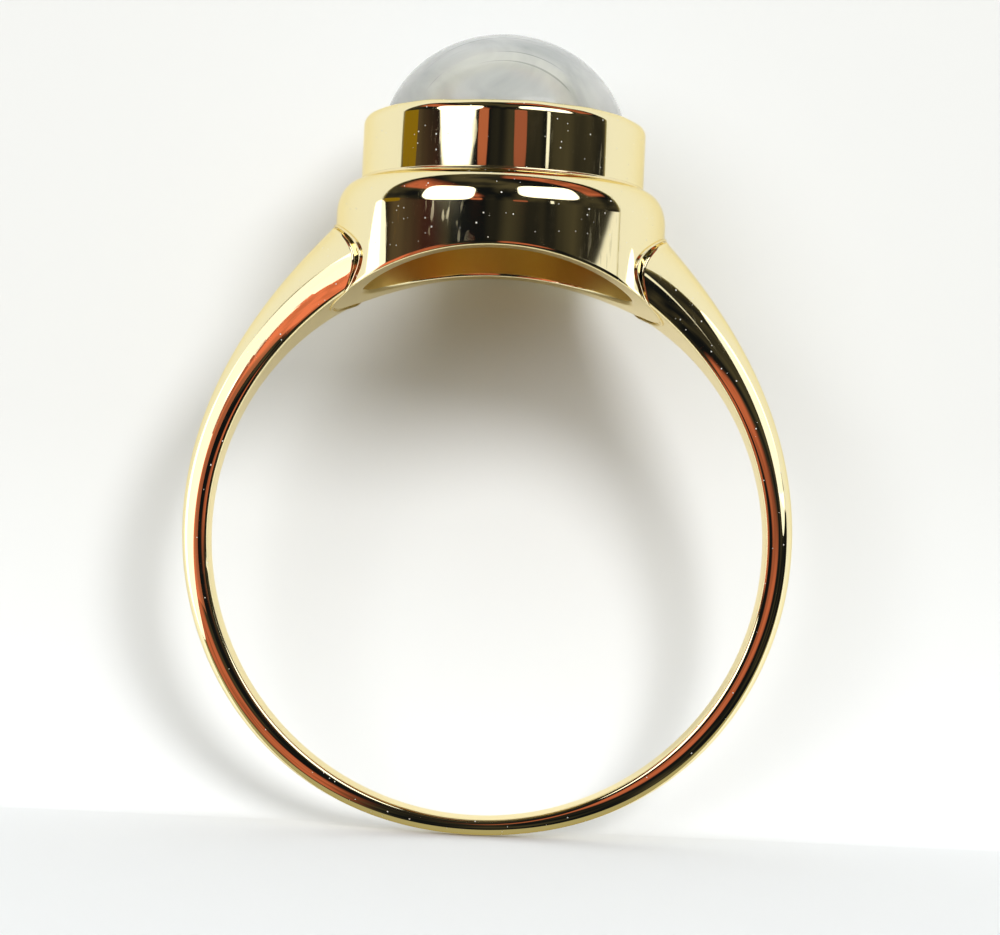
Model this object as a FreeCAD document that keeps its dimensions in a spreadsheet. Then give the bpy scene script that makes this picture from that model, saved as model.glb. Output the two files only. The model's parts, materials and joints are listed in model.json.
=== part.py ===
# A 14 karat gold ring with a tall two-tier round head that holds one cabochon.
# Millimetres. The origin is the centre of the finger hole, +Y runs along the finger's axis,
# +X crosses the ring and +Z points up through the stone.
import FreeCAD, Part
import math
import os
import Sketcher

V = FreeCAD.Vector

DIMENSIONS = [
    # finger hole: an inside diameter of 17.35 mm is a United States size 7
    ("hole_radius", 8.675),
    # half-round band: thickness away from the finger's axis, and width along it
    ("band_thick_bottom", 0.55),
    ("band_thick_side", 0.82),
    ("band_thick_shoulder", 2.14),
    ("band_wide_bottom", 1.20),
    ("band_wide_shoulder", 5.60),
    ("band_edge_land", 0.15),
    # angles from the bottom of the band: where it meets the head, and where its blank ends
    ("shoulder_angle", 150.5),
    ("blank_angle", 157.0),
    # lower tier of the head, open to the finger
    ("gallery_radius", 5.15),
    ("gallery_wall", 0.95),
    ("gallery_top", 10.96),
    ("gallery_round", 0.58),
    ("deck_thick", 0.70),
    ("window_radius", 3.00),
    # upper tier, the bezel that grips the stone
    ("bezel_radius", 4.42),
    ("bezel_wall", 0.50),
    ("bezel_top", 13.10),
    ("bezel_round", 0.32),
    ("lip_depth", 0.34),
    ("bearing_inner", 3.30),
    ("bearing_top", 11.95),
    # cabochon with a short upright girdle under an elliptical dome
    ("stone_radius", 3.88),
    ("stone_girdle", 0.30),
    ("stone_dome", 3.55),
    # solder: a film at each shoulder and a small cove around the bezel's foot
    ("solder_film", 0.08),
    ("solder_cove", 0.12),
    # gap left between the burnished lip and the dome, too small to see
    ("lip_gap", 0.02),
]

STATIONS = 17             # cross sections along the band's blank
WORN_POWER = 26.0         # how local the worn, thinner stretch at the bottom is
THICKNESS_POWER = 6.5     # how late the band thickens on its way up to the head
WIDTH_POWER = 8           # how late it widens
BITE = 0.4                # how far a blank reaches past the surface that trims it
REACH = 20.0              # longer than any cut has to be


def add_sheet(doc):
    """The driving dimensions, one named cell each."""
    sheet = doc.addObject("Spreadsheet::Sheet", "Sheet")
    for row, (alias, value) in enumerate(DIMENSIONS, start=1):
        sheet.set("A%d" % row, alias)
        sheet.set("B%d" % row, str(value))
        sheet.setAlias("B%d" % row, alias)
    doc.recompute()
    return sheet


def add_body(doc, name):
    """An empty body whose Label is the name of its node."""
    body = doc.addObject("PartDesign::Body", name)
    body.Label = name
    return body


def add_sketch(body, name, role):
    """A sketch on one of the body's own origin planes."""
    plane = next(f for f in body.Origin.OriginFeatures if f.Role == role)
    sketch = body.newObject("Sketcher::SketchObject", name)
    sketch.AttachmentSupport = [(plane, "")]
    sketch.MapMode = "FlatFace"
    return sketch


def constrain(sketch, name, constraint, formula):
    """Add one dimension to a sketch and bind it to the sheet."""
    index = sketch.addConstraint(constraint)
    sketch.renameConstraint(index, name)
    sketch.setExpression("Constraints." + name, formula)


def add_circle(sketch, name, radius, formula):
    """A circle about the sketch's origin with a bound radius."""
    index = sketch.addGeometry(Part.Circle(V(0, 0, 0), V(0, 0, 1), radius), False)
    sketch.addConstraint(Sketcher.Constraint("Coincident", index, 3, -1, 1))
    constrain(sketch, name, Sketcher.Constraint("Radius", index, radius), formula)


def add_loop(sketch, points):
    """A closed loop of straight lines, one corner joined to the next."""
    first = sketch.GeometryCount
    count = len(points)
    for i in range(count):
        start = V(points[i][0], points[i][1], 0)
        end = V(points[(i + 1) % count][0], points[(i + 1) % count][1], 0)
        sketch.addGeometry(Part.LineSegment(start, end), False)
    for i in range(count):
        after = first + (i + 1) % count
        sketch.addConstraint(Sketcher.Constraint("Coincident", first + i, 2, after, 1))
    return first


def pin_corner(sketch, line, name, point, formulas):
    """Fix where a line starts, by its two distances from the origin."""
    for kind, value, formula in zip("XY", point, formulas):
        constraint = Sketcher.Constraint("Distance" + kind, -1, 1, line, 1, value)
        constrain(sketch, name + kind.lower(), constraint, formula)


def add_band_section(body, sheet, index):
    """One D-shaped section of the band, in a plane through the finger's axis.

    The flat side lies a little inside the finger hole, two short upright lands stand on it, and
    one circular arc joins them over the crest. The band is thinnest at the bottom, where it is
    worn, by a power of the cosine of half its angle, and thickens and widens late towards the
    head, by a power of the share of the way there.
    """
    share = 2.0 * index / (STATIONS - 1) - 1.0
    late = abs(share) * sheet.blank_angle / sheet.shoulder_angle
    worn = math.cos(math.radians(share * sheet.blank_angle / 2.0)) ** WORN_POWER
    thick = sheet.band_thick_side
    thick -= (sheet.band_thick_side - sheet.band_thick_bottom) * worn
    thick += (sheet.band_thick_shoulder - sheet.band_thick_side) * late ** THICKNESS_POWER
    wide = sheet.band_wide_bottom
    wide += (sheet.band_wide_shoulder - sheet.band_wide_bottom) * late ** WIDTH_POWER
    low = sheet.hole_radius - BITE
    land = sheet.hole_radius + sheet.band_edge_land
    rise = thick - sheet.band_edge_land
    radius = (wide * wide / 4.0 + rise * rise) / (2.0 * rise)
    centre = land + rise - radius
    start = math.atan2(land - centre, wide / 2.0)

    sketch = add_sketch(body, "BandSection%02d" % index, "YZ_Plane")
    sketch.AttachmentOffset = FreeCAD.Placement(V(0, 0, 0), FreeCAD.Rotation(V(1, 0, 0), 180.0))
    sketch.setExpression(".AttachmentOffset.Rotation.Angle", "180 - %.6f * Sheet.blank_angle" % share)
    half = wide / 2.0
    sketch.addGeometry(Part.LineSegment(V(-half, low, 0), V(half, low, 0)), False)
    sketch.addGeometry(Part.LineSegment(V(half, low, 0), V(half, land, 0)), False)
    circle = Part.Circle(V(0, centre, 0), V(0, 0, 1), radius)
    sketch.addGeometry(Part.ArcOfCircle(circle, start, math.pi - start), False)
    sketch.addGeometry(Part.LineSegment(V(-half, land, 0), V(-half, low, 0)), False)
    for i in range(4):
        sketch.addConstraint(Sketcher.Constraint("Coincident", i, 2, (i + 1) % 4, 1))
    sketch.addConstraint(Sketcher.Constraint("Vertical", 1))
    sketch.addConstraint(Sketcher.Constraint("Vertical", 3))
    sketch.addConstraint(Sketcher.Constraint("Symmetric", 0, 1, 0, 2, -2))
    sketch.addConstraint(Sketcher.Constraint("Horizontal", 1, 2, 3, 1))

    late_text = "(%.6f * Sheet.blank_angle / Sheet.shoulder_angle)" % abs(share)
    worn_text = "pow(cos(%.6f deg * Sheet.blank_angle / 2); %s)" % (share, WORN_POWER)
    thick_text = "(Sheet.band_thick_side"
    thick_text += " - (Sheet.band_thick_side - Sheet.band_thick_bottom) * %s" % worn_text
    thick_text += " + (Sheet.band_thick_shoulder - Sheet.band_thick_side)"
    thick_text += " * pow(%s; %s))" % (late_text, THICKNESS_POWER)
    wide_text = "(Sheet.band_wide_bottom + (Sheet.band_wide_shoulder - Sheet.band_wide_bottom)"
    wide_text += " * pow(%s; %s))" % (late_text, WIDTH_POWER)
    rise_text = "(%s - Sheet.band_edge_land)" % thick_text
    radius_text = "(%s * %s / 4 + %s * %s) / (2 * %s)" % (
        wide_text, wide_text, rise_text, rise_text, rise_text)
    distance_y = "DistanceY"
    constrain(sketch, "wide", Sketcher.Constraint("DistanceX", 0, 1, 0, 2, wide), wide_text)
    constrain(sketch, "low", Sketcher.Constraint(distance_y, -1, 1, 0, 1, low),
              "Sheet.hole_radius - %s" % BITE)
    constrain(sketch, "land", Sketcher.Constraint(distance_y, -1, 1, 1, 2, land),
              "Sheet.hole_radius + Sheet.band_edge_land")
    constrain(sketch, "crown", Sketcher.Constraint("Radius", 2, radius), radius_text)
    return sketch


def cut_finger_hole(body, sheet):
    """Bore a body along the finger's axis, right through both ways."""
    sketch = add_sketch(body, body.Name + "HoleSketch", "XZ_Plane")
    add_circle(sketch, "hole", sheet.hole_radius, "Sheet.hole_radius")
    hole = body.newObject("PartDesign::Pocket", body.Name + "Hole")
    hole.Profile = sketch
    hole.Type = "Length"
    hole.Midplane = True
    hole.Length = 2.0 * REACH
    sketch.Visibility = False
    return hole


def band_blank(doc, sheet):
    """The whole band from end to end, before its ends are trimmed to the head."""
    body = add_body(doc, "band_blank")
    sections = [add_band_section(body, sheet, i) for i in range(STATIONS)]
    loft = body.newObject("PartDesign::AdditiveLoft", "BandLoft")
    loft.Profile = sections[0]
    loft.Sections = sections[1:]
    cut_finger_hole(body, sheet)
    return body


def upright_cylinder(doc, name, formula):
    """A cylinder about the head's axis, from the hole's centre up past the top of the ring."""
    cylinder = doc.addObject("Part::Cylinder", name)
    cylinder.setExpression("Radius", formula)
    cylinder.Height = REACH
    return cylinder


def boolean(doc, kind, label, base, tool):
    """A Cut or a Common of two shapes, as a sub-part of its own."""
    result = doc.addObject("Part::" + kind, label)
    result.Label = label
    result.Base = base
    result.Tool = tool
    return result


def shank(doc, blank):
    """The band trimmed to fishmouth ends, a solder film short of the gallery wall."""
    trim = upright_cylinder(doc, "ShankTrim", "Sheet.gallery_radius + Sheet.solder_film")
    return boolean(doc, "Cut", "shank", blank, trim)


def shoulder_solders(doc, blank):
    """The film of solder that joins each end of the band to the gallery wall."""
    outer = upright_cylinder(doc, "FilmOuter", "Sheet.gallery_radius + Sheet.solder_film")
    inner = upright_cylinder(doc, "FilmInner", "Sheet.gallery_radius")
    film = boolean(doc, "Cut", "FilmTube", outer, inner)
    both = boolean(doc, "Common", "FilmBoth", blank, film)
    sides = []
    for label, corner in (("left_shoulder_solder", -REACH), ("right_shoulder_solder", 0.0)):
        half = doc.addObject("Part::Box", label + "_side")
        half.Length = REACH
        half.Width = 2.0 * REACH
        half.Height = REACH
        half.Placement = FreeCAD.Placement(V(corner, -REACH, 0), FreeCAD.Rotation())
        sides.append(boolean(doc, "Common", label, both, half))
    return sides


def add_ring_pad(body, name, radii, floor, height):
    """A round ring that rises from a level: radii and levels are (value, formula) pairs."""
    sketch = add_sketch(body, name + "Sketch", "XY_Plane")
    sketch.setExpression(".AttachmentOffset.Base.z", floor[1])
    for word, (value, formula) in zip(("outer", "inner"), radii):
        add_circle(sketch, word, value, formula)
    pad = body.newObject("PartDesign::Pad", name)
    pad.Profile = sketch
    pad.Length = height[0]
    pad.setExpression("Length", height[1])
    sketch.Visibility = False
    return pad


def gallery_wall(doc, sheet):
    """The lower tier: a thick round wall, rounded over at the top and bored by the finger hole."""
    body = add_body(doc, "gallery_wall")
    inner = sheet.gallery_radius - sheet.gallery_wall
    # the wall starts inside the finger hole, which then cuts its foot to a saddle
    floor = math.sqrt(sheet.hole_radius ** 2 - sheet.gallery_radius ** 2) - BITE
    floor_text = "sqrt(pow(Sheet.hole_radius; 2) - pow(Sheet.gallery_radius; 2)) - %s" % BITE
    radii = ((sheet.gallery_radius, "Sheet.gallery_radius"),
             (inner, "Sheet.gallery_radius - Sheet.gallery_wall"))
    height = (sheet.gallery_top - floor, "Sheet.gallery_top - (%s)" % floor_text)
    pad = add_ring_pad(body, "GalleryPad", radii, (floor, floor_text), height)
    doc.recompute()
    edge = circle_edge(pad.Shape, sheet.gallery_radius, sheet.gallery_top)
    rounding = body.newObject("PartDesign::Fillet", "GalleryRound")
    rounding.Base = (pad, [edge])
    rounding.Radius = sheet.gallery_round
    rounding.setExpression("Radius", "Sheet.gallery_round")
    cut_finger_hole(body, sheet)
    return body


def circle_edge(shape, radius, height):
    """The name of the level circular edge with this radius at this height."""
    for i, edge in enumerate(shape.Edges, start=1):
        curve = edge.Curve
        if not isinstance(curve, Part.Circle):
            continue
        if abs(curve.Radius - radius) < 1e-6 and abs(curve.Center.z - height) < 1e-6:
            return "Edge%d" % i
    raise RuntimeError("no circular edge of radius %g at height %g" % (radius, height))


def gallery_deck(doc, sheet):
    """The plate let into the top of the gallery, with a round window behind the stone."""
    body = add_body(doc, "gallery_deck")
    radii = ((sheet.gallery_radius - sheet.gallery_wall, "Sheet.gallery_radius - Sheet.gallery_wall"),
             (sheet.window_radius, "Sheet.window_radius"))
    floor = (sheet.gallery_top - sheet.deck_thick, "Sheet.gallery_top - Sheet.deck_thick")
    add_ring_pad(body, "DeckPad", radii, floor, (sheet.deck_thick, "Sheet.deck_thick"))
    return body


def revolve_about_z(body, name, sketch):
    """Turn a sketch on the XZ plane once about the head's axis."""
    feature = body.newObject("PartDesign::Revolution", name)
    feature.Profile = sketch
    feature.ReferenceAxis = (sketch, ["V_Axis"])
    feature.Angle = 360.0
    sketch.Visibility = False
    return feature


def lip_radius(sheet):
    """How far out the dome still is where the lip ends, plus the gap: a number and a formula."""
    rise = sheet.bezel_top - sheet.bearing_top - sheet.stone_girdle
    value = sheet.stone_radius * math.sqrt(1.0 - (rise / sheet.stone_dome) ** 2) + sheet.lip_gap
    rise_text = "(Sheet.bezel_top - Sheet.bearing_top - Sheet.stone_girdle)"
    text = "Sheet.stone_radius * sqrt(1 - pow(%s / Sheet.stone_dome; 2)) + Sheet.lip_gap" % rise_text
    return value, text


def bezel_wall(doc, sheet):
    """The upper tier: a thin wall whose lip leans in over the stone, rounded over outside."""
    body = add_body(doc, "bezel_wall")
    bore = sheet.bezel_radius - sheet.bezel_wall
    lip, lip_text = lip_radius(sheet)
    points = [
        (bore, sheet.gallery_top),
        (sheet.bezel_radius, sheet.gallery_top),
        (sheet.bezel_radius, sheet.bezel_top),
        (lip, sheet.bezel_top),
        (bore, sheet.bezel_top - sheet.lip_depth),
    ]
    formulas = [
        ("Sheet.bezel_radius - Sheet.bezel_wall", "Sheet.gallery_top"),
        ("Sheet.bezel_radius", "Sheet.gallery_top"),
        ("Sheet.bezel_radius", "Sheet.bezel_top"),
        (lip_text, "Sheet.bezel_top"),
        ("Sheet.bezel_radius - Sheet.bezel_wall", "Sheet.bezel_top - Sheet.lip_depth"),
    ]
    sketch = add_sketch(body, "BezelSketch", "XZ_Plane")
    first = add_loop(sketch, points)
    for i, point in enumerate(points):
        pin_corner(sketch, first + i, "corner%d" % i, point, formulas[i])
    turned = revolve_about_z(body, "BezelTurned", sketch)
    doc.recompute()
    edge = circle_edge(turned.Shape, sheet.bezel_radius, sheet.bezel_top)
    rounding = body.newObject("PartDesign::Fillet", "BezelRound")
    rounding.Base = (turned, [edge])
    rounding.Radius = sheet.bezel_round
    rounding.setExpression("Radius", "Sheet.bezel_round")
    return body


def bearing_ring(doc, sheet):
    """The inner ring that the stone sits on, standing on the deck inside the bezel."""
    body = add_body(doc, "bearing_ring")
    radii = ((sheet.bezel_radius - sheet.bezel_wall, "Sheet.bezel_radius - Sheet.bezel_wall"),
             (sheet.bearing_inner, "Sheet.bearing_inner"))
    height = (sheet.bearing_top - sheet.gallery_top, "Sheet.bearing_top - Sheet.gallery_top")
    add_ring_pad(body, "BearingPad", radii, (sheet.gallery_top, "Sheet.gallery_top"), height)
    return body


def bezel_solder(doc, sheet):
    """The cove of solder in the corner between the bezel's foot and the top of the gallery."""
    body = add_body(doc, "bezel_solder_cove")
    inner, level, cove = sheet.bezel_radius, sheet.gallery_top, sheet.solder_cove
    sketch = add_sketch(body, "CoveSketch", "XZ_Plane")
    sketch.addGeometry(Part.LineSegment(V(inner, level + cove, 0), V(inner, level, 0)), False)
    sketch.addGeometry(Part.LineSegment(V(inner, level, 0), V(inner + cove, level, 0)), False)
    circle = Part.Circle(V(inner + cove, level + cove, 0), V(0, 0, 1), cove)
    sketch.addGeometry(Part.ArcOfCircle(circle, math.pi, 1.5 * math.pi), False)
    sketch.addConstraint(Sketcher.Constraint("Coincident", 0, 2, 1, 1))
    sketch.addConstraint(Sketcher.Constraint("Coincident", 1, 2, 2, 2))
    sketch.addConstraint(Sketcher.Constraint("Coincident", 2, 1, 0, 1))
    sketch.addConstraint(Sketcher.Constraint("Vertical", 0))
    sketch.addConstraint(Sketcher.Constraint("Horizontal", 1))
    sketch.addConstraint(Sketcher.Constraint("Equal", 0, 1))
    pin_corner(sketch, 1, "foot", (inner, level), ("Sheet.bezel_radius", "Sheet.gallery_top"))
    constrain(sketch, "width", Sketcher.Constraint("DistanceX", 1, 1, 1, 2, cove), "Sheet.solder_cove")
    constrain(sketch, "curve", Sketcher.Constraint("Radius", 2, cove), "Sheet.solder_cove")
    revolve_about_z(body, "CoveTurned", sketch)
    return body


def cabochon(doc):
    """The stone: a flat back, a short upright girdle and half an ellipsoid for the dome."""
    girdle = doc.addObject("Part::Cylinder", "Girdle")
    girdle.setExpression("Radius", "Sheet.stone_radius")
    girdle.setExpression("Height", "Sheet.stone_girdle")
    girdle.setExpression(".Placement.Base.z", "Sheet.bearing_top")
    dome = doc.addObject("Part::Ellipsoid", "Dome")
    dome.setExpression("Radius1", "Sheet.stone_dome")
    dome.setExpression("Radius2", "Sheet.stone_radius")
    dome.setExpression("Radius3", "Sheet.stone_radius")
    dome.Angle1 = 0.0
    dome.setExpression(".Placement.Base.z", "Sheet.bearing_top + Sheet.stone_girdle")
    stone = boolean(doc, "Fuse", "cabochon", girdle, dome)
    stone.Refine = True
    return stone


def check_document(doc, nodes):
    """Stop if any object failed or any sub-part is not one or more valid closed solids."""
    for thing in doc.Objects:
        if "Invalid" in thing.State or "Error" in thing.State:
            raise RuntimeError("%s failed: %s" % (thing.Label, thing.State))
    for node in nodes:
        shape = node.Shape
        if shape.isNull() or not shape.isValid() or not shape.Solids:
            raise RuntimeError("%s has no valid solid" % node.Label)
        box = shape.BoundBox
        print("%-22s %d solid, %8.3f mm3, X %.2f..%.2f Y %.2f..%.2f Z %.2f..%.2f" % (
            node.Label, len(shape.Solids), shape.Volume,
            box.XMin, box.XMax, box.YMin, box.YMax, box.ZMin, box.ZMax))


def main():
    doc = FreeCAD.newDocument("CocktailRing")
    sheet = add_sheet(doc)
    blank = band_blank(doc, sheet)
    nodes = [shank(doc, blank)]
    nodes += shoulder_solders(doc, blank)
    nodes.append(gallery_wall(doc, sheet))
    nodes.append(gallery_deck(doc, sheet))
    nodes.append(bezel_wall(doc, sheet))
    nodes.append(bezel_solder(doc, sheet))
    nodes.append(bearing_ring(doc, sheet))
    nodes.append(cabochon(doc))
    doc.recompute()
    check_document(doc, nodes)
    os.makedirs("parts", exist_ok=True)
    for node in nodes:
        node.Shape.exportStep("parts/%s.step" % node.Label)


main()
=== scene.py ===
import json
import bpy
import numpy as np
from mathutils import Matrix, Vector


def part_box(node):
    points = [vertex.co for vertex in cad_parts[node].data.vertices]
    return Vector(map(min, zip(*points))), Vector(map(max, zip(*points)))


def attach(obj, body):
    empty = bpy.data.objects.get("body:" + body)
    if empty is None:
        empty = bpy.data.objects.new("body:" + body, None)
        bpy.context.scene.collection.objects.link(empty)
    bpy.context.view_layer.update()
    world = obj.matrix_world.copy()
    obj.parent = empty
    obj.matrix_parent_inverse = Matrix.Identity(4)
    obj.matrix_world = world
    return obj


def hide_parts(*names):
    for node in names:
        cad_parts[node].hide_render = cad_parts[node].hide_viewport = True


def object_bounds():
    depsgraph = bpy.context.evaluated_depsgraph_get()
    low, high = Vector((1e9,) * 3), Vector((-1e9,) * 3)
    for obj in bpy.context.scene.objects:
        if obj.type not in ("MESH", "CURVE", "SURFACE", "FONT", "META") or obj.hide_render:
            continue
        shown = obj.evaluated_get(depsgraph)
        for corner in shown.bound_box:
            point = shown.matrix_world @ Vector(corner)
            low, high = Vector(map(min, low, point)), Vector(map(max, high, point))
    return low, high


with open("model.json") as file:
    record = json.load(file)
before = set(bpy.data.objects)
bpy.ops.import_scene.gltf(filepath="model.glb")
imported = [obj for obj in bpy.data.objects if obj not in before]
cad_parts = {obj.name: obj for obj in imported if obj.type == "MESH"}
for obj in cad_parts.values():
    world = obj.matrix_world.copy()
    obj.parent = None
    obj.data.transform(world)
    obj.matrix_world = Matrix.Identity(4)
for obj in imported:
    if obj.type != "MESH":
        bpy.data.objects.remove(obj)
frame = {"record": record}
cad_low, cad_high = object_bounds()
mm = 0.001

# ---------------------------------------------------------------------------------------------
# Shank: the half-round band, one piece of 14 karat yellow gold. It is worn thin at the bottom,
# swells into broad shoulders, and both ends are coped to fit the round wall of the head.
finger_radius = frame["record"]["mounts"][0]["dims"]["r_mm"] * mm
gallery_radius = round(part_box("gallery_wall")[1][0], 5)
solder_film = 0.08 * mm
band_thick_bottom = 0.55 * mm
band_thick_side = 0.82 * mm
band_thick_shoulder = 2.14 * mm
band_wide_bottom = 1.20 * mm
band_wide_shoulder = 5.60 * mm
shoulder_angle = np.radians(150.5)
band_edge = 0.15 * mm
shoulder_side = 0.45 * mm
bottom_dip_power = 26      # how suddenly it thins at the bottom
thick_power = 6.5          # how late it thickens on the way to the head
wide_power = 8             # how late it widens
oval_start, oval_span, oval_share = 0.72, 0.30, 0.6
band_stations = 481
flat_count, corner_count, crown_count = 15, 7, 80


def grid_mesh(name, points, wrap_rows, wrap_columns, caps=False):
    """A mesh over a grid of points, rows by columns. Either way round can close on itself, and
    the first and last rows can each be closed with one flat face. Normals point outwards."""
    rows, columns = points.shape[:2]
    index = np.arange(rows * columns).reshape(rows, columns)
    if wrap_rows:
        index = np.vstack([index, index[:1]])
    if wrap_columns:
        index = np.hstack([index, index[:, :1]])
    quads = np.stack([index[:-1, :-1], index[:-1, 1:], index[1:, 1:], index[1:, :-1]], axis=-1)
    faces = quads.reshape(-1, 4).tolist()
    if caps:
        faces.append(index[0, :columns][::-1].tolist())
        faces.append(index[-1, :columns].tolist())
    mesh = bpy.data.meshes.new(name)
    mesh.from_pydata(points.reshape(-1, 3).tolist(), [], faces)
    mesh.validate()
    mesh.shade_smooth()
    piece = bpy.data.objects.new(name, mesh)
    bpy.context.collection.objects.link(piece)
    turn_outwards(mesh)
    return piece


def turn_outwards(mesh):
    """Flip every face if the closed surface holds a negative volume, a third of the sum of each
    face's centre times its area vector."""
    count = len(mesh.polygons)
    centres = np.empty(count * 3)
    normals = np.empty(count * 3)
    areas = np.empty(count)
    mesh.polygons.foreach_get("center", centres)
    mesh.polygons.foreach_get("normal", normals)
    mesh.polygons.foreach_get("area", areas)
    flux = (centres.reshape(-1, 3) * normals.reshape(-1, 3)).sum(axis=1) * areas
    if flux.sum() < 0:
        mesh.flip_normals()


def section_pattern():
    """The D-shaped outline as fixed shares, once round: the flat on the finger, a small quarter
    round, the crown from edge to edge, and the other quarter round. Side is -1 to 1 across the
    flat, along and out turn round the quarter rounds, and crown runs from 0 to 1 over the top."""
    flat = np.linspace(-1, 1, flat_count)
    corner = np.linspace(-np.pi / 2, 0, corner_count + 1)[1:]
    crown = np.linspace(0, 1, crown_count + 2)[1:-1]
    ones = np.ones(corner_count)
    side = np.concatenate([flat, ones, crown * 0, -ones])
    along = np.concatenate([flat * 0, np.cos(corner), crown * 0, -np.cos(corner)[::-1]])
    out = np.concatenate([flat * 0 - 1, np.sin(corner), crown * 0, np.sin(corner)[::-1]])
    crown = np.concatenate([flat * 0 - 1, -ones, crown, -ones])
    return side, along, out, crown


def band_point(angle, pattern):
    """Where the outline's points lie at an angle from the bottom of the band. The thickness dips
    by a high power of the half angle's cosine, and thickness and width grow by powers of the share
    of the way to the head. The crown is the circle through both edges and the crest, and close to
    the head it turns smoothly into an ellipse on taller upright sides."""
    side, along, out, crown = pattern
    way = np.abs(angle) / shoulder_angle
    dip = (band_thick_side - band_thick_bottom) * np.cos(angle / 2) ** bottom_dip_power
    thick = band_thick_side - dip + (band_thick_shoulder - band_thick_side) * way ** thick_power
    half = (band_wide_bottom + (band_wide_shoulder - band_wide_bottom) * way ** wide_power) / 2
    blend = np.clip((way - oval_start) / oval_span, 0, 1)
    blend = oval_share * blend ** 2 * (3 - 2 * blend)
    land = band_edge + shoulder_side * blend
    rise = thick - band_edge
    radius = (half ** 2 + rise ** 2) / (2 * rise)
    centre = thick - radius
    start = np.arctan2(band_edge - centre, half)
    turn = start + (np.pi - 2 * start) * crown
    oval = np.pi * crown
    oval_height = land + (thick - land) * np.sin(oval)
    arc_across = radius * np.cos(turn) * (1 - blend) + half * np.cos(oval) * blend
    arc_height = (centre + radius * np.sin(turn)) * (1 - blend) + oval_height * blend
    across = np.where(crown >= 0, arc_across, side * (half - band_edge) + along * band_edge)
    height = np.where(crown >= 0, arc_height, band_edge * (1 + out))
    reach = finger_radius + height
    return np.stack([reach * np.sin(angle), across, -reach * np.cos(angle)], axis=-1)


def coped_angle(pattern, cope_radius):
    """The angle at which each line along the band meets the upright cylinder of the head, found
    by halving an interval forty times for all the lines at once."""
    surely_outside, surely_inside = np.radians([120.0, 158.0])
    near = np.full(len(pattern[0]), surely_outside)
    far = np.full(len(pattern[0]), surely_inside)
    for _ in range(40):
        middle = (near + far) / 2
        point = band_point(middle, pattern)
        outside = np.hypot(point[:, 0], point[:, 1]) > cope_radius
        near = np.where(outside, middle, near)
        far = np.where(outside, far, middle)
    return (near + far) / 2


pattern = section_pattern()
cope = coped_angle(pattern, gallery_radius + solder_film)
share = np.linspace(-1, 1, band_stations)[:, None]
shank = grid_mesh("shank_band", band_point(share * cope[None, :], pattern), False, True, caps=True)
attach(shank, "root")
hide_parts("shank")


def new_group(name, inputs, outputs):
    """An empty shader node group with float inputs and float outputs, and its two end nodes."""
    group = bpy.data.node_groups.new(name, "ShaderNodeTree")
    for label, value in inputs:
        socket = group.interface.new_socket(label, in_out="INPUT", socket_type="NodeSocketFloat")
        socket.default_value = value
    for label in outputs:
        group.interface.new_socket(label, in_out="OUTPUT", socket_type="NodeSocketFloat")
    return group, group.nodes.new("NodeGroupInput").outputs, group.nodes.new("NodeGroupOutput").inputs


def add_node(tree, kind, links=(), **settings):
    """A node of this kind with its settings, and its inputs either linked or given a value."""
    node = tree.nodes.new(kind)
    for key, value in settings.items():
        setattr(node, key, value)
    for socket, source in links:
        if hasattr(source, "is_output"):
            tree.links.new(source, node.inputs[socket])
        else:
            node.inputs[socket].default_value = source
    return node


def add_math(tree, operation, *values):
    """The result of a Math node on sockets or plain numbers."""
    return add_node(tree, "ShaderNodeMath", list(enumerate(values)), operation=operation).outputs[0]


def mix_colours(tree, share, first, second):
    """The colour that goes from the first, where the share is 0, to the second, where it is 1."""
    by_socket = [("Factor", share), (6, first), (7, second)]      # 6 and 7 are its colours A and B
    return add_node(tree, "ShaderNodeMix", by_socket, data_type="RGBA").outputs[2]


def hand_polish_group():
    """The slow waviness that hand polishing leaves, as a height in metres."""
    group, given, result = new_group(
        "hand_polish", [("Wave Length", 2.5 * mm), ("Depth", 0.001 * mm)], ["Height"])
    place = group.nodes.new("ShaderNodeTexCoord").outputs["Object"]
    scale = add_math(group, "DIVIDE", 1.0, given["Wave Length"])
    noise = add_node(group, "ShaderNodeTexNoise", [("Vector", place), ("Scale", scale), ("Detail", 1.5)])
    level = add_math(group, "SUBTRACT", noise.outputs["Fac"], 0.5)
    group.links.new(add_math(group, "MULTIPLY", level, given["Depth"]), result["Height"])
    return group


def hairlines_group():
    """Fine scratches in three directions: noise stretched into streaks and cut off near its top.
    Along, across and deep are how often the noise changes in a metre."""
    group, given, result = new_group("hairlines", [("Amount", 1.0)], ["Mask"])
    place = group.nodes.new("ShaderNodeTexCoord").outputs["Object"]
    total = None
    for turn, along in (((0.5, 0.2, 0.9), 260.0), ((1.2, 0.9, 2.3), 330.0), ((2.1, 0.4, 0.2), 210.0)):
        across, deep = 24000.0, along * 4
        mapped = add_node(group, "ShaderNodeMapping", [
            ("Vector", place), ("Rotation", turn), ("Scale", (along, across, deep))])
        noise = add_node(group, "ShaderNodeTexNoise", [
            ("Vector", mapped.outputs[0]), ("Scale", 1.0), ("Detail", 0.0)])
        streak = add_node(group, "ShaderNodeMapRange", [
            ("Value", noise.outputs["Fac"]), ("From Min", 0.73), ("From Max", 0.78)]).outputs[0]
        total = streak if total is None else add_math(group, "MAXIMUM", total, streak)
    group.links.new(add_math(group, "MULTIPLY", total, given["Amount"]), result["Mask"])
    return group


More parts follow.
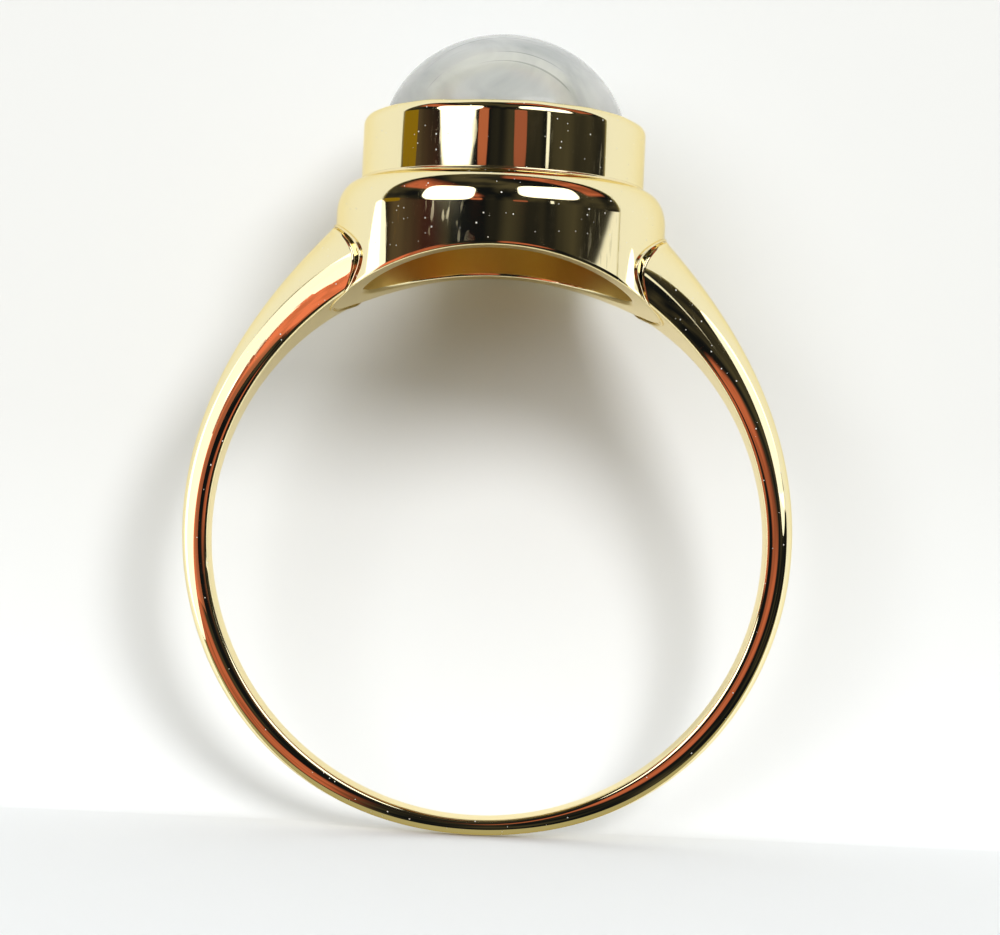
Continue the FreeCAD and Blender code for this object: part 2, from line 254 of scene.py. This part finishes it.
def dust_group():
    """Single specks of dust: the middles of a few of the cells of a Voronoi pattern. Spacing is
    in metres, share is how many cells have a speck, and size is a share of the spacing."""
    group, given, result = new_group(
        "dust", [("Spacing", 0.7 * mm), ("Share", 0.2), ("Size", 0.03)], ["Mask"])
    place = group.nodes.new("ShaderNodeTexCoord").outputs["Object"]
    scale = add_math(group, "DIVIDE", 1.0, given["Spacing"])
    cells = add_node(group, "ShaderNodeTexVoronoi", [("Vector", place), ("Scale", scale)])
    tint = add_node(group, "ShaderNodeSeparateColor", [("Color", cells.outputs["Color"])])
    kept = add_math(group, "LESS_THAN", tint.outputs[0], given["Share"])
    size = add_math(group, "MULTIPLY", given["Size"], add_math(group, "ADD", tint.outputs[1], 0.5))
    middle = add_math(group, "LESS_THAN", cells.outputs["Distance"], size)
    group.links.new(add_math(group, "MULTIPLY", kept, middle), result["Mask"])
    return group


hand_polish = hand_polish_group()
hairlines = hairlines_group()
dust = dust_group()


def add_group(tree, group, **values):
    """A group node in a material, with its own values."""
    node = tree.nodes.new("ShaderNodeGroup")
    node.node_tree = group
    for label, value in values.items():
        node.inputs[label.replace("_", " ")].default_value = value
    return node


def gold_material(name, colour, roughness, wave_depth, scratch_depth, dust_share):
    """Polished gold: a tinted mirror with slow waviness, fine scratches that catch the light, and
    a few specks of pale dust that are not metal. The depths are in metres."""
    speck_height = 0.02 * mm
    scratch_roughness = 0.06
    dust_colour = (0.85, 0.84, 0.80, 1.0)
    material = bpy.data.materials.new(name)
    material.use_nodes = True
    tree = material.node_tree
    shader = tree.nodes["Principled BSDF"]
    wave = add_group(tree, hand_polish, Wave_Length=2.6 * mm, Depth=wave_depth)
    lines = add_group(tree, hairlines, Amount=1.0)
    specks = add_group(tree, dust, Spacing=0.17 * mm, Share=dust_share, Size=0.10)
    scratched = add_math(tree, "MULTIPLY", lines.outputs["Mask"], scratch_depth)
    raised = add_math(tree, "MULTIPLY", specks.outputs["Mask"], speck_height)
    height = add_math(tree, "ADD", add_math(tree, "SUBTRACT", wave.outputs["Height"], scratched), raised)
    bump = add_node(tree, "ShaderNodeBump", [("Height", height), ("Distance", 1.0), ("Strength", 1.0)])
    tree.links.new(bump.outputs["Normal"], shader.inputs["Normal"])
    shader.inputs["Specular Tint"].default_value = (0.93, 0.84, 0.58, 1.0)
    rough = add_node(tree, "ShaderNodeMapRange", [
        ("Value", lines.outputs["Mask"]),
        ("To Min", roughness), ("To Max", roughness + scratch_roughness)])
    dusty = add_math(tree, "MAXIMUM", rough.outputs[0], specks.outputs["Mask"])
    tree.links.new(dusty, shader.inputs["Roughness"])
    tint = mix_colours(tree, specks.outputs["Mask"], (*colour, 1.0), dust_colour)
    tree.links.new(tint, shader.inputs["Base Color"])
    metal = add_math(tree, "SUBTRACT", 1.0, specks.outputs["Mask"])
    tree.links.new(metal, shader.inputs["Metallic"])
    return material


polished_gold = gold_material(
    "polished_gold", (0.97, 0.87, 0.55), roughness=0.04, wave_depth=3e-6, scratch_depth=5e-8, dust_share=0.35)
shank.data.materials.append(polished_gold)

# ---------------------------------------------------------------------------------------------
# Gallery wall: the lower tier of the head, a thick round gold wall with a rounded top edge. Its
# foot is cut to a saddle that lies on the finger, and it is hollow and open underneath.
gallery_top = round(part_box("gallery_wall")[1][2], 5)
gallery_inner = gallery_radius - 0.95 * mm
gallery_round_in = 0.66 * mm
gallery_round_down = 1.00 * mm
gallery_edge = 0.11 * mm
gallery_lip = 0.05 * mm
just_off = 0.02 * mm
turn_steps = 720


def quarter(count):
    """Shares (along, up) from (0, 0) to (1, 1) of a quarter round that leaves the wall upright."""
    angle = np.linspace(0, np.pi / 2, count)
    return 1 - np.cos(angle), np.sin(angle)


def soft_corner(start, corner, end, count):
    """A curve that rounds a corner: each point is a blend of start, corner and end by the
    quadratic Bezier weights."""
    t = np.linspace(0, 1, count)[:, None]
    radius = (1 - t) ** 2 * start[0] + 2 * t * (1 - t) * corner[0] + t ** 2 * end[0]
    height = (1 - t) ** 2 * start[1] + 2 * t * (1 - t) * corner[1] + t ** 2 * end[1]
    return radius, height


def turned(radii, heights, angle):
    """Points of a profile carried round the head: radius and height by profile row and angle."""
    radii = np.broadcast_to(radii, np.broadcast_shapes(radii.shape, angle.shape, heights.shape))
    heights = np.broadcast_to(heights, radii.shape)
    return np.stack([radii * np.cos(angle), radii * np.sin(angle), heights], axis=-1)


def gallery_points():
    """The wall's profile at every angle, as radius and height: up the outside, over the rounded
    edge, across the top, down the inside and along the foot, which follows the finger hole."""
    angle = np.linspace(0, 2 * np.pi, turn_steps, endpoint=False)[None, :]

    def foot(radius):
        return np.sqrt(finger_radius ** 2 - (radius * np.cos(angle)) ** 2)

    outer, inner, edge, lip = gallery_radius, gallery_inner, gallery_edge, gallery_lip
    shoulder = gallery_top - gallery_round_down
    rise = np.array([0, 0.01, 0.03, 0.1, 0.25, 0.4, 0.55, 0.7, 0.85, 0.95, 0.985, 1])[:, None]
    low = foot(outer) + edge
    up = outer + 0 * low * rise, low + (shoulder - low) * rise
    along, above = quarter(22)
    over_radius = outer - gallery_round_in * along[1:, None]
    over_height = shoulder + gallery_round_down * above[1:, None]
    over = over_radius + 0 * low, over_height + 0 * low
    across = np.array([outer - gallery_round_in - just_off, inner + lip + just_off])[:, None] + 0 * low
    top = across, gallery_top + 0 * across
    bend = soft_corner(
        (inner + lip + 0 * low, gallery_top), (inner, gallery_top), (inner, gallery_top - lip + 0 * low), 6)
    inner_low = foot(inner) + edge
    down = np.array([0.02, 0.2, 0.5, 0.8, 0.98])[:, None]
    inside = inner + 0 * inner_low * down, gallery_top - lip + (inner_low - gallery_top + lip) * down
    near = soft_corner((inner, inner_low), (inner, foot(inner)), (inner + edge, foot(inner + edge)), 8)
    level = np.linspace(inner + edge, outer - edge, 10)[1:-1, None]
    under = level + 0 * low, foot(level)
    far = soft_corner((outer - edge, foot(outer - edge)), (outer, foot(outer)), (outer, low), 8)
    parts = [up, over, top, bend, inside, near, under, (far[0][:-1], far[1][:-1])]
    radii = np.vstack([np.broadcast_to(r, (len(r), turn_steps)) for r, h in parts])
    heights = np.vstack([np.broadcast_to(h, (len(h), turn_steps)) for r, h in parts])
    return turned(radii, heights, angle)


gallery = grid_mesh("gallery_tier", gallery_points(), True, True)
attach(gallery, "root")
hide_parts("gallery_wall")
# The inside faces of the wall take a darker, more saturated amber gold. This is painted shade of the hollow
# head, on a less finely polished surface.
inner_gold_painted_shade = gold_material(
    "inner_gold_painted_shade", (0.90, 0.70, 0.26), roughness=0.30, wave_depth=9e-6, scratch_depth=4e-7, dust_share=0.05)
gallery.data.materials.append(polished_gold)
gallery.data.materials.append(inner_gold_painted_shade)
first_inner_row, last_inner_row = 41, 45
row_of_face = np.arange(len(gallery.data.polygons)) // turn_steps
on_inner_face = (row_of_face >= first_inner_row) & (row_of_face <= last_inner_row)
gallery.data.polygons.foreach_set("material_index", on_inner_face.astype(np.int32))

# ---------------------------------------------------------------------------------------------
# Gallery deck: the flat gold plate let into the top of the gallery, with a round window behind
# the stone. It is seen only from the finger's side, and is less finely polished. Its darker amber
# gold is painted shade of the hollow head.
deck_low, deck_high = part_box("gallery_deck")
window_radius = 3.0 * mm
deck_edge = 0.06 * mm


def turned_ring(name, outline, edge):
    """A ring turned from a closed outline of (radius, height) corners, each one rounded by a
    Bezier curve that starts and ends this far from it. A row a little beyond each end of the
    curve keeps the flats flat."""
    corners = np.array(outline)
    guard = 0.2
    radii, heights = [], []
    for i, corner in enumerate(corners):
        before = corners[i - 1] - corner
        after = corners[(i + 1) % len(corners)] - corner
        start = corner + before / np.hypot(*before) * edge
        end = corner + after / np.hypot(*after) * edge
        radius, height = soft_corner(start, corner, end, 8)
        first = start + (start - corner) * guard
        last = end + (end - corner) * guard
        radii += [[first[0]], radius[:, 0], [last[0]]]
        heights += [[first[1]], height[:, 0], [last[1]]]
    angle = np.linspace(0, 2 * np.pi, turn_steps, endpoint=False)[None, :]
    points = turned(np.concatenate(radii)[:, None], np.concatenate(heights)[:, None], angle)
    return grid_mesh(name, points, True, True)


deck = turned_ring("gallery_plate", [
    (window_radius, deck_low[2]), (gallery_inner, deck_low[2]),
    (gallery_inner, deck_high[2]), (window_radius, deck_high[2])], deck_edge)
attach(deck, "root")
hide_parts("gallery_deck")
deck.data.materials.append(inner_gold_painted_shade)

# ---------------------------------------------------------------------------------------------
# Shoulder solder: a fine bead of gold solder that runs round each end of the shank, where it
# meets the gallery wall. It is a little paler than the gold, and was never polished as brightly.
bead_radius = 0.042 * mm
bead_seat = 0.3            # how far into the solder film its middle lies, as a share
bead_sides = 12


def bead_points(side):
    """A small round bead swept along the closed line where the band meets the gallery: at each
    point it turns in the plane of the wall's outward normal and the line's own sideways normal."""
    line = band_point(coped_angle(pattern, gallery_radius + bead_seat * solder_film), pattern)
    line[:, 0] *= side
    ahead = np.roll(line, -1, axis=0) - np.roll(line, 1, axis=0)
    ahead /= np.linalg.norm(ahead, axis=1)[:, None]
    outward = line * (1, 1, 0)
    outward /= np.linalg.norm(outward, axis=1)[:, None]
    sideways = np.cross(ahead, outward)
    turn = np.linspace(0, 2 * np.pi, bead_sides, endpoint=False)[None, :, None]
    ring = outward[:, None] * np.cos(turn) + sideways[:, None] * np.sin(turn)
    return line[:, None] + bead_radius * ring


gold_solder = gold_material(
    "gold_solder", (0.94, 0.83, 0.54), roughness=0.10, wave_depth=6e-6, scratch_depth=4e-7, dust_share=0.05)
for label, side in (("left", -1), ("right", 1)):
    bead = grid_mesh(label + "_solder_bead", bead_points(side), True, True)
    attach(bead, "root")
    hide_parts(label + "_shoulder_solder")
    bead.data.materials.append(gold_solder)

# ---------------------------------------------------------------------------------------------
# Bezel: the upper tier, a thin upright gold wall. Its lip has been rubbed over the stone's edge,
# so it leans in, and it keeps the slight unevenness of the burnisher.
bezel_low, bezel_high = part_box("bezel_wall")
bezel_radius = round(bezel_high[0], 5)
bezel_inner = bezel_radius - 0.5 * mm
bezel_round = 0.34 * mm
lip_radius = 3.80 * mm
lip_depth = 0.34 * mm
uneven_height = 0.012 * mm
uneven_radius = 0.006 * mm


def bezel_points():
    """The wall's profile, carried round: up the outside, over a quarter round, across the narrow
    lip, down its leaning inner face and down the bore. Near the lip the height and the radius
    waver by about a hundredth of a millimetre, as sums of slow sines."""
    angle = np.linspace(0, 2 * np.pi, turn_steps, endpoint=False)[None, :]
    base, top = bezel_low[2], bezel_high[2]
    shoulder = top - bezel_round
    rise = np.array([0, 0.02, 0.15, 0.35, 0.6, 0.8, 0.93, 0.98, 1])[:, None]
    along, above = quarter(20)
    radii = np.concatenate([
        bezel_radius + 0 * rise[:, 0], bezel_radius - bezel_round * along[1:],
        [bezel_radius - bezel_round - 0.03 * mm, lip_radius + 0.06 * mm, lip_radius + 0.02 * mm, lip_radius],
        [lip_radius + 0.01 * mm, bezel_inner - 0.02 * mm, bezel_inner, bezel_inner, bezel_inner]])
    heights = np.concatenate([
        base + (shoulder - base) * rise[:, 0], shoulder + bezel_round * above[1:],
        [top, top - 0.005 * mm, top - 0.02 * mm, top - 0.06 * mm],
        [top - 0.09 * mm, top - lip_depth, top - lip_depth - 0.03 * mm, base + 0.02 * mm, base]])
    points = turned(radii[:, None], heights[:, None], angle)
    weight = np.clip((heights - base) / (top - base), 0, 1)[:, None] ** 4
    waver = np.sin(5 * angle + 0.7) + 0.7 * np.sin(9 * angle + 2.1) + 0.5 * np.sin(16 * angle + 4.4)
    lean = np.sin(4 * angle + 1.9) + 0.6 * np.sin(11 * angle + 0.4)
    points[..., 2] += uneven_height * weight * waver
    points[..., :2] *= 1 + (uneven_radius * weight * lean / bezel_radius)[..., None]
    return points


bezel = grid_mesh("bezel_tier", bezel_points(), True, True)
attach(bezel, "root")
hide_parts("bezel_wall")
bezel.data.materials.append(polished_gold)

# ---------------------------------------------------------------------------------------------
# Bezel solder: the cove of gold solder that has run into the corner between the bezel's foot and
# the gallery's top, and holds the two tiers together. Its face is hollow, as melted solder sets.
cove_size = 0.12 * mm


def cove_points():
    """A triangle with a hollow face, turned round the head: the foot, the corner and the wall, and
    a quarter circle that bends in from one to the other."""
    angle = np.linspace(0, 2 * np.pi, turn_steps, endpoint=False)[None, :]
    turn = np.linspace(1.5 * np.pi, np.pi, 10)
    tuck = 0.03 * mm
    hollow = bezel_radius + cove_size * (1 + np.cos(turn))
    radii = np.concatenate([[bezel_radius - tuck], hollow, [bezel_radius - tuck]])
    heights = np.concatenate([[-tuck], cove_size * (1 + np.sin(turn)), [cove_size]])
    return turned(radii[:, None], bezel_low[2] + heights[:, None], angle)


cove = grid_mesh("bezel_cove", cove_points(), True, True)
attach(cove, "root")
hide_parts("bezel_solder_cove")
cove.data.materials.append(gold_solder)

# ---------------------------------------------------------------------------------------------
# Bearing: the plain gold ring inside the bezel that the stone sits on. It is turned to fit the
# bezel's bore and stands on the deck.
bearing_low, bearing_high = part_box("bearing_ring")
bearing_inner = 3.3 * mm
bearing = turned_ring("stone_bearing", [
    (bearing_inner, bearing_low[2]), (bezel_inner, bearing_low[2]),
    (bezel_inner, bearing_high[2]), (bearing_inner, bearing_high[2])], deck_edge)
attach(bearing, "root")
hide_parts("bearing_ring")
# It takes the same darker amber gold, which is painted shade of the inside of the head.
bearing.data.materials.append(inner_gold_painted_shade)

# ---------------------------------------------------------------------------------------------
# Cabochon: a round stone with a flat back, a short upright girdle and a tall dome. It is milky
# grey-white and lets light through, with faint veils and a few fine needles inside.
stone_low, stone_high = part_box("cabochon")
stone_radius = round(stone_high[0], 5)
girdle_height = 0.30 * mm
back_bevel = 0.08 * mm
bevel_start = 0.02 * mm
pole_radius = 0.001 * mm


def stone_points():
    """Half an ellipse on a short upright girdle on a flat back, turned round the head. The first
    and last rows are small rings round the axis, each closed with a flat face."""
    angle = np.linspace(0, 2 * np.pi, 256, endpoint=False)[None, :]
    climb = np.linspace(0, np.pi / 2, 90)[:-1]
    dome_height = stone_high[2] - stone_low[2] - girdle_height
    back = np.array([0.02, 0.5, 0.9, 1.0]) * (stone_radius - back_bevel)
    girdle = [stone_radius - bevel_start, stone_radius]
    radii = np.concatenate([back, girdle, stone_radius * np.cos(climb), [pole_radius]])
    heights = np.concatenate([
        0 * back, [bevel_start, back_bevel],
        girdle_height + dome_height * np.sin(climb), [girdle_height + dome_height]])
    return turned(radii[:, None], stone_low[2] + heights[:, None], angle)


stone = grid_mesh("cabochon_stone", stone_points(), False, True, caps=True)
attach(stone, "root")
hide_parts("cabochon")


def stone_material():
    """Milky quartz: a clear polished surface over cloudy grey-white, with soft veils from warped
    noise and fine darker needles from streaked noise."""
    material = bpy.data.materials.new("milky_stone")
    material.use_nodes = True
    tree = material.node_tree
    shader = tree.nodes["Principled BSDF"]
    for label, value in (
            ("Roughness", 0.04), ("IOR", 1.54), ("Transmission Weight", 0.45), ("Subsurface Weight", 0.4),
            ("Subsurface Radius", (1.0, 1.0, 0.9)), ("Subsurface Scale", 1.5 * mm)):
        shader.inputs[label].default_value = value
    place = tree.nodes.new("ShaderNodeTexCoord").outputs["Object"]
    veil = add_node(tree, "ShaderNodeTexNoise", [
        ("Vector", place), ("Scale", 420.0), ("Detail", 4.0), ("Distortion", 0.8)])
    cloud = add_node(tree, "ShaderNodeValToRGB", [("Fac", veil.outputs["Fac"])])
    grey, white, needle_grey = (0.50, 0.53, 0.52, 1), (0.86, 0.86, 0.83, 1), (0.22, 0.24, 0.24, 1)
    for stop, place_on_ramp, colour in zip(cloud.color_ramp.elements, (0.30, 0.72), (grey, white)):
        stop.position = place_on_ramp
        stop.color = colour
    mapped = add_node(tree, "ShaderNodeMapping", [
        ("Vector", place), ("Rotation", (0.4, 1.1, 0.3)), ("Scale", (240.0, 9000.0, 420.0))])
    streak = add_node(tree, "ShaderNodeTexNoise", [
        ("Vector", mapped.outputs[0]), ("Scale", 1.0), ("Detail", 0.0)])
    needle = add_node(tree, "ShaderNodeMapRange", [
        ("Value", streak.outputs["Fac"]), ("From Min", 0.72), ("From Max", 0.77), ("To Max", 0.55)])
    tint = mix_colours(tree, needle.outputs[0], cloud.outputs[0], needle_grey)
    tree.links.new(tint, shader.inputs["Base Color"])
    return material


stone.data.materials.append(stone_material())

# ---------------------------------------------------------------------------------------------
# Floor and backdrop: a plain pale floor under the ring, and a plain pale sheet that sweeps up
# from it close behind the ring.
sheet_back = gallery_radius + 0.35 * mm
sweep_deep = 4.0 * mm
sweep_tall = 13.0 * mm
stage_size = 1.2
floor_height = cad_low[2] - 0.02 * mm
sheet_lift = 0.01 * mm


def board_material():
    """Matt near-white, with nothing on its back so that it never hides the ring."""
    material = bpy.data.materials.new("pale_board")
    material.use_nodes = True
    tree = material.node_tree
    shader = tree.nodes["Principled BSDF"]
    shader.inputs["Base Color"].default_value = (0.86, 0.865, 0.865, 1)
    shader.inputs["Roughness"].default_value = 0.9
    shader.inputs["Specular IOR Level"].default_value = 0.1
    clear = tree.nodes.new("ShaderNodeBsdfTransparent")
    facing = tree.nodes.new("ShaderNodeNewGeometry")
    mixed = add_node(tree, "ShaderNodeMixShader", [
        (0, facing.outputs["Backfacing"]), (1, shader.outputs[0]), (2, clear.outputs[0])])
    tree.links.new(mixed.outputs[0], tree.nodes["Material Output"].inputs["Surface"])
    return material


def sheet_piece(name, depths, heights):
    """A sheet as wide as the stage, carried along a line of depths and heights from front to
    back. It faces up where it lies and forwards where it stands."""
    left = np.stack([-stage_size + 0 * depths, depths, heights], axis=-1)
    right = left * (-1, 1, 1)
    rows = np.arange(len(depths) - 1)
    count = len(depths)
    faces = np.stack([rows, rows + count, rows + count + 1, rows + 1], axis=-1)
    mesh = bpy.data.meshes.new(name)
    mesh.from_pydata(np.vstack([left, right]).tolist(), [], faces.tolist())
    mesh.shade_smooth()
    sheet = bpy.data.objects.new(name, mesh)
    bpy.context.collection.objects.link(sheet)
    sheet.data.materials.append(pale_board)
    return sheet


pale_board = board_material()
sweep = np.linspace(0, np.pi / 2, 24)
floor = sheet_piece(
    "floor", np.array([-stage_size, stage_size]), np.array([floor_height, floor_height]))
backdrop = sheet_piece(
    "backdrop",
    np.append(sheet_back - sweep_deep * (1 - np.sin(sweep)), sheet_back),
    np.append(floor_height + sheet_lift + sweep_tall * (1 - np.cos(sweep)), stage_size))
floor.visible_glossy = False
floor.visible_diffuse = False

# ---------------------------------------------------------------------------------------------
# Surroundings: a soft pale studio. The polished gold also mirrors a dim room in front, warm on its
# left side, with two soft windows, and small glowing cards that stand beside the ring. They give
# the metal its dark, orange and white bands.
world = bpy.data.worlds.new("studio")
bpy.context.scene.world = world
world.use_nodes = True
sky = world.node_tree
sky.nodes.clear()
ray = sky.nodes.new("ShaderNodeLightPath").outputs
facing = sky.nodes.new("ShaderNodeTexCoord").outputs["Generated"]
across, behind, upward = add_node(sky, "ShaderNodeSeparateXYZ", [(0, facing)]).outputs


def times(*values):
    """The product of sockets or plain numbers."""
    product = values[0]
    for value in values[1:]:
        product = add_math(sky, "MULTIPLY", product, value)
    return product


def less(value):
    """1 minus the value."""
    return add_math(sky, "SUBTRACT", 1.0, value)


def fade(value, start, end):
    """A smooth step: 0 where the value is at start and 1 where it is at end."""
    return add_node(sky, "ShaderNodeMapRange", [
        ("Value", value), ("From Min", start), ("From Max", end), ("To Min", 0.0), ("To Max", 1.0)],
        interpolation_type="SMOOTHSTEP").outputs[0]


def between(value, low, high, soft):
    """1 between two values and 0 outside them, with soft edges."""
    return times(fade(value, low - soft, low + soft), fade(value, high + soft, high - soft))


def patch(azimuths, climbs, power):
    """A patch of the surroundings between two azimuths and two climbs, in degrees. Its outline is
    where the two offsets from its middle, each as a share and raised to a power, add up to 1."""
    shares = []
    for value, (low, high) in ((azimuth, azimuths), (climb, climbs)):
        offset = add_math(sky, "SUBTRACT", value, (low + high) / 2)
        offset = add_math(sky, "ABSOLUTE", add_math(sky, "DIVIDE", offset, (high - low) / 2))
        shares.append(add_math(sky, "POWER", offset, power))
    return fade(add_math(sky, "ADD", *shares), 1.12, 0.90)


def lay_over(under, mask, colour):
    """The colour under it, with another colour laid over it where the mask is 1."""
    over = colour if hasattr(colour, "is_output") else (*colour, 1.0)
    return mix_colours(sky, mask, under, over)


# Directions in degrees. Polar is the angle from straight in front of the ring, azimuth is from the
# front to the right, climb is upwards, and lean turns from the left side upwards, seen from the front.
degree = 180.0 / np.pi
ahead = times(behind, -1.0)
polar = times(add_math(sky, "ARCCOSINE", ahead), degree)
azimuth = times(add_math(sky, "ARCTAN2", across, ahead), degree)
climb = times(add_math(sky, "ARCSINE", upward), degree)
lean = times(add_math(sky, "ARCTAN2", upward, times(across, -1.0)), degree)
left_side = fade(across, 0.04, -0.04)
right_side = less(left_side)
low_side = fade(upward, 0.03, -0.10)
high_side = less(low_side)

# The warm part of the room: its left side, which keeps mostly clear of the directions that the
# upright walls of the head mirror, a low strip in front on the right, and a high one at the right.
off_the_walls = less(times(between(climb, 4.2, 11.4, 1.2), 0.93))
polar_near_head = add_math(sky, "ADD", polar, times(fade(lean, 30.0, 40.0), 17.0))
warm_left = times(
    left_side, off_the_walls, fade(polar_near_head, 34.0, 42.0), fade(polar, 87.0, 79.0),
    between(lean, -66.0, 52.0, 7.0), less(between(lean, 11.0, 33.0, 2.0)))
warm_low = times(right_side, low_side, between(polar, 3.0, 34.0, 4.0))
warm_right = times(right_side, high_side, between(polar, 70.0, 84.0, 2.0), between(lean, 90.0, 148.0, 3.0))
haze = add_node(sky, "ShaderNodeTexNoise", [("Scale", 2.2), ("Detail", 2.0)]).outputs["Fac"]
glint = add_node(sky, "ShaderNodeTexNoise", [("Scale", 5.0), ("Detail", 3.0)]).outputs["Fac"]
bright_orange, dull_orange = (0.52, 0.135, 0.075, 1.0), (0.27, 0.075, 0.04)
black, olive = (0.006, 0.007, 0.009, 1.0), (0.075, 0.065, 0.04)
embers = lay_over(bright_orange, fade(glint, 0.40, 0.68), dull_orange)
room = lay_over(black, fade(haze, 0.42, 0.72), olive)
for warm in (warm_left, warm_low, warm_right):
    room = lay_over(room, warm, embers)

# Patches of the room, each with its azimuths, its climbs, how square it is, and its colour: an
# amber curtain, two orange panels, a narrow bright gap, and the left and the right window.
for azimuths, climbs, power, colour in (
        ((-89, -74), (7.9, 12.5), 4.0, (0.24, 0.15, 0.008)),
        ((-21, -13), (8.3, 12), 4.0, (0.45, 0.13, 0.07)),
        ((8, 18), (8.3, 11), 4.0, (0.34, 0.10, 0.06)),
        ((34, 36.5), (8.4, 13), 8.0, (1.1, 1.1, 1.1)),
        ((-57, -19), (8.1, 38), 4.0, (2.3, 2.3, 2.3)),
        ((12, 58), (18, 46), 4.0, (2.0, 2.0, 2.0))):
    room = lay_over(room, patch(azimuths, climbs, power), colour)

# A pale corner low on the right, whose edge slants ten degrees outwards for each degree of climb,
# and the dim gold of everything beside and behind the ring.
corner_slant = add_math(sky, "SUBTRACT", polar, times(climb, 10.0))
pale_corner = times(right_side, fade(corner_slant, 6.0, 10.0), between(climb, 4.6, 8.3, 0.3))
room = lay_over(room, pale_corner, (0.94, 0.94, 0.92))
room = lay_over(room, fade(polar, 88.0, 91.0), (0.42, 0.38, 0.22))

# Only glossy rays see the room. Other light comes from a soft fill, cool above and warm below, and
# the camera sees plain pale grey.
warm_fill, cool_fill, pale_grey = (0.22, 0.18, 0.09, 1.0), (0.68, 0.71, 0.73), (0.90, 0.91, 0.91)
fill = lay_over(warm_fill, fade(upward, -0.25, 0.45), cool_fill)
backing = lay_over(lay_over(fill, ray["Is Glossy Ray"], room), ray["Is Camera Ray"], pale_grey)
glow = add_node(sky, "ShaderNodeBackground", [("Color", backing), ("Strength", 1.0)])
output = sky.nodes.new("ShaderNodeOutputWorld")
sky.links.new(glow.outputs[0], output.inputs[0])


def place_lamp(name, data, side, lift, back, centre):
    """A lamp that shines against its back axis, with its three axes and its place in its matrix."""
    lamp = bpy.data.objects.new(name, data)
    bpy.context.collection.objects.link(lamp)
    rows = zip(np.stack([side, lift, back], axis=1), centre)
    lamp.matrix_world = Matrix([[*row, place] for row, place in rows] + [[0, 0, 0, 1]])
    return lamp


def soft_sun(name, towards, spread, strength, colour):
    """A distant soft lamp that shines from this direction. The polished gold doesn't mirror it."""
    data = bpy.data.lights.new(name, "SUN")
    data.angle = np.radians(spread)
    data.energy = strength
    data.color = colour
    back = np.array(towards, float) / np.linalg.norm(towards)
    side = np.cross((0, 0, 1), back)
    side /= np.linalg.norm(side)
    lamp = place_lamp(name, data, side, np.cross(back, side), back, (0, 0, 0))
    lamp.visible_glossy = False


def glowing_card(name, shape, centre, size, lean, brightness, colour):
    """A glowing card beside the ring that faces its axis, which only the gold and the stone
    mirror. It leans in the plane that it stands in, in degrees, and its power is its brightness
    times pi times its area."""
    data = bpy.data.lights.new(name, "AREA")
    data.shape = shape
    data.size, data.size_y = size[0] * mm, size[1] * mm
    data.energy = brightness * np.pi * data.size * data.size_y * (np.pi / 4 if shape == "ELLIPSE" else 1.0)
    data.color = colour
    back = np.array([np.sign(centre[0]), 0.0, 0.0])
    lift = np.array([0.0, np.sin(np.radians(lean)), np.cos(np.radians(lean))])
    card = place_lamp(name, data, np.cross(lift, back), lift, back, np.array(centre) * mm)
    card.visible_camera = card.visible_diffuse = False


card_white, card_orange = (0.98, 0.99, 1.0), (1.0, 0.26, 0.145)
glowing_card("left_card", "ELLIPSE", (-12.0, -2.10, 3.3), (4.6, 16.8), -11, 1.20, card_white)
glowing_card("right_card", "ELLIPSE", (12.0, -1.6, 5.2), (2.6, 9.4), 5, 1.20, card_white)
glowing_card("orange_card", "RECTANGLE", (-12.0, -6.6, 2.2), (5.6, 11.6), -9, 0.34, card_orange)
soft_sun("right_window", (0.52, -1.0, 0.52), 20, 1.76, (0.985, 0.995, 1.0))
soft_sun("left_window", (-0.62, -1.0, 0.30), 32, 0.80, (0.96, 0.985, 1.0))

# ---------------------------------------------------------------------------------------------
# Camera: it looks almost straight along the finger's axis, from a little above the middle of the
# finger hole and from close by, and it is turned slightly.
scene = bpy.context.scene
lens = bpy.data.cameras.new("camera")
camera = bpy.data.objects.new("camera", lens)
bpy.context.collection.objects.link(camera)
scene.camera = camera
lens.sensor_width = 36.0
lens.lens = 82.3
lens.clip_start = 0.002
lens.clip_end = 10.0
tilt_up, turn_right, roll = np.radians([1.01, -0.15, 2.54])
heading = np.array([np.sin(turn_right), np.cos(turn_right), 0.0])
forward = heading * np.cos(tilt_up) + np.array([0.0, 0.0, np.sin(tilt_up)])
level = np.array([np.cos(turn_right), -np.sin(turn_right), 0.0])
above = np.cross(level, forward)
right = np.cos(roll) * level + np.sin(roll) * above
up = np.cross(right, forward)
seat = (0.50 * mm, -71.6 * mm, 1.01 * mm)
rows = zip(np.stack([right, up, -forward], axis=1), seat)
camera.matrix_world = Matrix([[*row, place] for row, place in rows] + [[0, 0, 0, 1]])
scene.view_settings.view_transform = "Standard"
